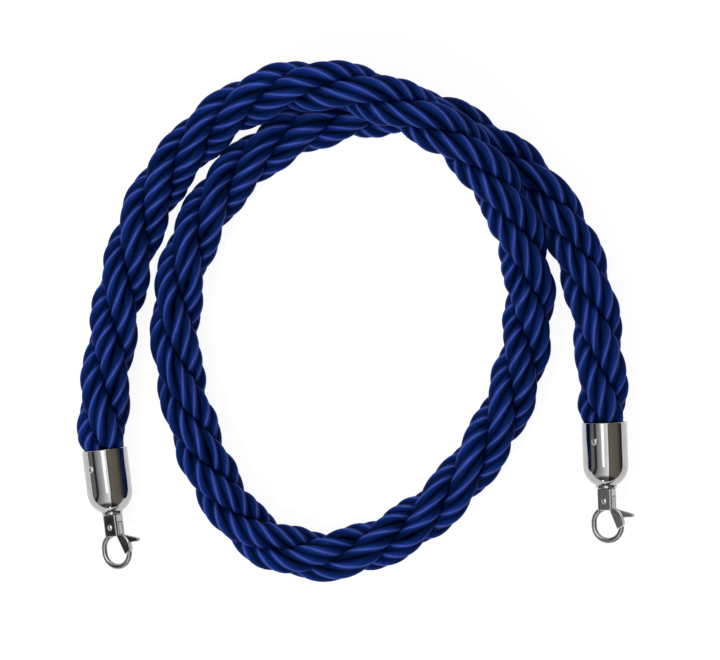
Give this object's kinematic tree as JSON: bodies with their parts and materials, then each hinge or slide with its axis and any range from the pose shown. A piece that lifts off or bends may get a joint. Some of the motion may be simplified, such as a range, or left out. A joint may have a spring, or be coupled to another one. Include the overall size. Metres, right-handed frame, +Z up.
{
  "type": "barrier rope",
  "caption": "Twisted satin barrier rope lying in a loop, with domed chrome end caps whose swivelling snap hooks clip onto barrier posts.",
  "frame": {"origin": "middle of the lying loop's footprint, on the surface that it lies on", "axes": "+Z up from the surface; +X from the left cap to the right cap, as seen from above with both hooks nearest the viewer; +Y away from the hooks"},
  "size_m": [0.3743, 0.3477, 0.0691],
  "materials": {
    "rope_satin": "royal blue satin yarn, three laid strands of twisted plies",
    "whipping_thread": "waxed binding thread, hidden in the cap",
    "cap_chrome": "polished chrome plate on turned brass",
    "hook_chrome": "polished chrome plate on cast zinc",
    "screw_chrome": "plated steel",
    "washer_steel": "turned and zinc-plated",
    "spring_steel": "drawn wire"
  },
  "bodies": {
    "root": {"rope": "rope_satin", "left_rope_whipping": "whipping_thread", "left_cap": "cap_chrome", "left_cap_screw": "screw_chrome", "left_inner_washer": "washer_steel", "left_outer_washer": "cap_chrome", "right_rope_whipping": "whipping_thread", "right_cap": "cap_chrome", "right_cap_screw": "screw_chrome", "right_inner_washer": "washer_steel", "right_outer_washer": "cap_chrome"},
    "left_hook_body": {"left_swivel_stud": "washer_steel", "left_hook": "hook_chrome", "left_gate_pin": "screw_chrome", "left_gate_spring": "spring_steel"},
    "left_gate_body": {"left_gate": "hook_chrome"},
    "right_hook_body": {"right_swivel_stud": "washer_steel", "right_hook": "hook_chrome", "right_gate_pin": "screw_chrome", "right_gate_spring": "spring_steel"},
    "right_gate_body": {"right_gate": "hook_chrome"}
  },
  "joints": [
    {"name": "left_swivel", "type": "hinge", "parent": "root", "child": "left_hook_body", "pos_m": [-0.16382, -0.12718, 0.017], "axis": [0.1219, -0.9925, 0], "continuous": true},
    {"name": "left_gate_hinge", "type": "hinge", "parent": "left_hook_body", "child": "left_gate_body", "pos_m": [-0.16254, -0.13761, 0.017], "axis": [0.4506, 0.0553, -0.891], "range_deg": [0, 22], "stiffness_Nm_per_rad": 0.05, "springref_deg": -28.65, "deforming": ["left_gate_spring"]},
    {"name": "right_swivel", "type": "hinge", "parent": "root", "child": "right_hook_body", "pos_m": [0.16898, -0.10947, 0.017], "axis": [0.0349, -0.9994, 0], "continuous": true},
    {"name": "right_gate_hinge", "type": "hinge", "parent": "right_hook_body", "child": "right_gate_body", "pos_m": [0.16935, -0.11997, 0.017], "axis": [0.4537, 0.0158, -0.891], "range_deg": [0, 22], "stiffness_Nm_per_rad": 0.05, "springref_deg": -28.65, "deforming": ["right_gate_spring"]}
  ]
}
